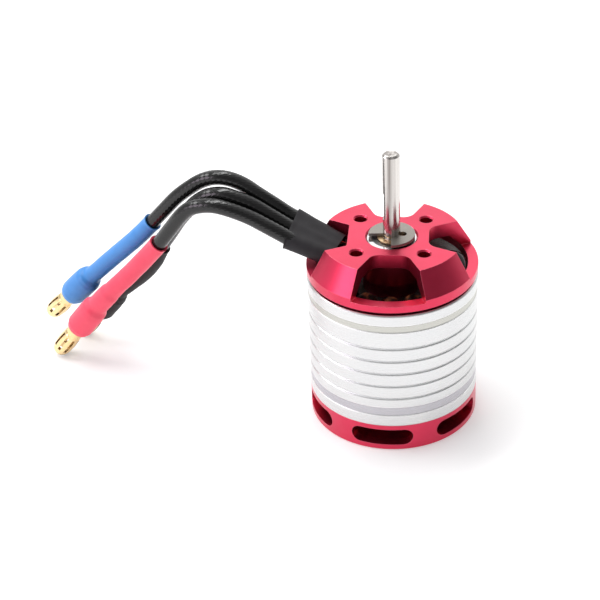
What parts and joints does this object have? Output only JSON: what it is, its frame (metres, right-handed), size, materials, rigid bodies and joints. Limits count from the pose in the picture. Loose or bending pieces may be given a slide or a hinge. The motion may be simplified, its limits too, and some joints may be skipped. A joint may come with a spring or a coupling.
{
  "type": "brushless outrunner motor",
  "caption": "Brushless outrunner motor: turned red cap and rear bell, polished steel can that turns with the shaft, and sleeved phase leads with gold bullet plugs.",
  "frame": {"origin": "centre of the rear bell's underside, on the shaft's axis", "axes": "+Z along the shaft towards its free end; -X towards the side where the leads leave"},
  "size_m": [0.0987, 0.0449, 0.0597],
  "materials": {
    "red_anodised": "satin anodised, finely turned",
    "can_steel": "polished, finely turned",
    "bearing_steel": "ground",
    "ball_steel": "polished",
    "cage_brass": "satin",
    "shield_steel": "satin",
    "core_steel": "varnished laminations",
    "insulator": "matte",
    "copper": "enamelled wire",
    "sleeve_black": "gloss",
    "magnet_nickel": "nickel plated",
    "shaft_steel": "ground and polished",
    "clip_steel": "phosphated spring steel",
    "shim_bronze": "satin",
    "screw_steel": "black oxide",
    "braid_black": "gloss, fine braid",
    "shrink_matte_black": "matte heat-shrink",
    "shrink_blue": "satin heat-shrink",
    "shrink_red": "satin heat-shrink",
    "gold_plate": "gold plated"
  },
  "bodies": {
    "stator": {"front_cap": "red_anodised", "front_bearing_outer_race": "bearing_steel", "front_bearing_shields": "shield_steel", "rear_bearing_outer_race": "bearing_steel", "rear_bearing_shields": "shield_steel", "stator_core": "core_steel", "slot_insulators": "insulator", "phase_a_coils": "copper", "phase_b_coils": "copper", "phase_c_coils": "copper", "winding_sleeve": "sleeve_black", "phase_tails": "copper", "lead_collar": "shrink_matte_black", "lead_blue": "braid_black", "lead_red": "braid_black", "lead_black": "braid_black", "shrink_blue": "shrink_blue", "shrink_red": "shrink_red", "shrink_black": "shrink_matte_black", "bullet_blue": "gold_plate", "bullet_red": "gold_plate", "bullet_black": "gold_plate"},
    "rotor": {"front_bearing_inner_race": "bearing_steel", "rear_bearing_inner_race": "bearing_steel", "rotor_can": "can_steel", "magnets_north": "magnet_nickel", "magnets_south": "magnet_nickel", "rear_bell": "red_anodised", "shaft": "shaft_steel", "shaft_clip": "clip_steel", "shaft_shim": "shim_bronze", "rear_spacer": "shim_bronze", "bell_set_screws": "screw_steel"},
    "front_cage": {"front_bearing_cage": "cage_brass", "front_bearing_balls": "ball_steel"},
    "rear_cage": {"rear_bearing_cage": "cage_brass", "rear_bearing_balls": "ball_steel"}
  },
  "joints": [
    {"name": "rotor_spin", "type": "hinge", "parent": "stator", "child": "rotor", "pos_m": [0, 0, 0.02], "axis": [0, 0, 1], "continuous": true},
    {"name": "front_cage_spin", "type": "hinge", "parent": "stator", "child": "front_cage", "pos_m": [0, 0, 0.0386], "axis": [0, 0, 1], "continuous": true},
    {"name": "rear_cage_spin", "type": "hinge", "parent": "stator", "child": "rear_cage", "pos_m": [0, 0, 0.0114], "axis": [0, 0, 1], "continuous": true}
  ],
  "couplings": [
    {"joint": "front_cage_spin", "follows": "rotor_spin", "ratio": 0.383},
    {"joint": "rear_cage_spin", "follows": "rotor_spin", "ratio": 0.383}
  ]
}
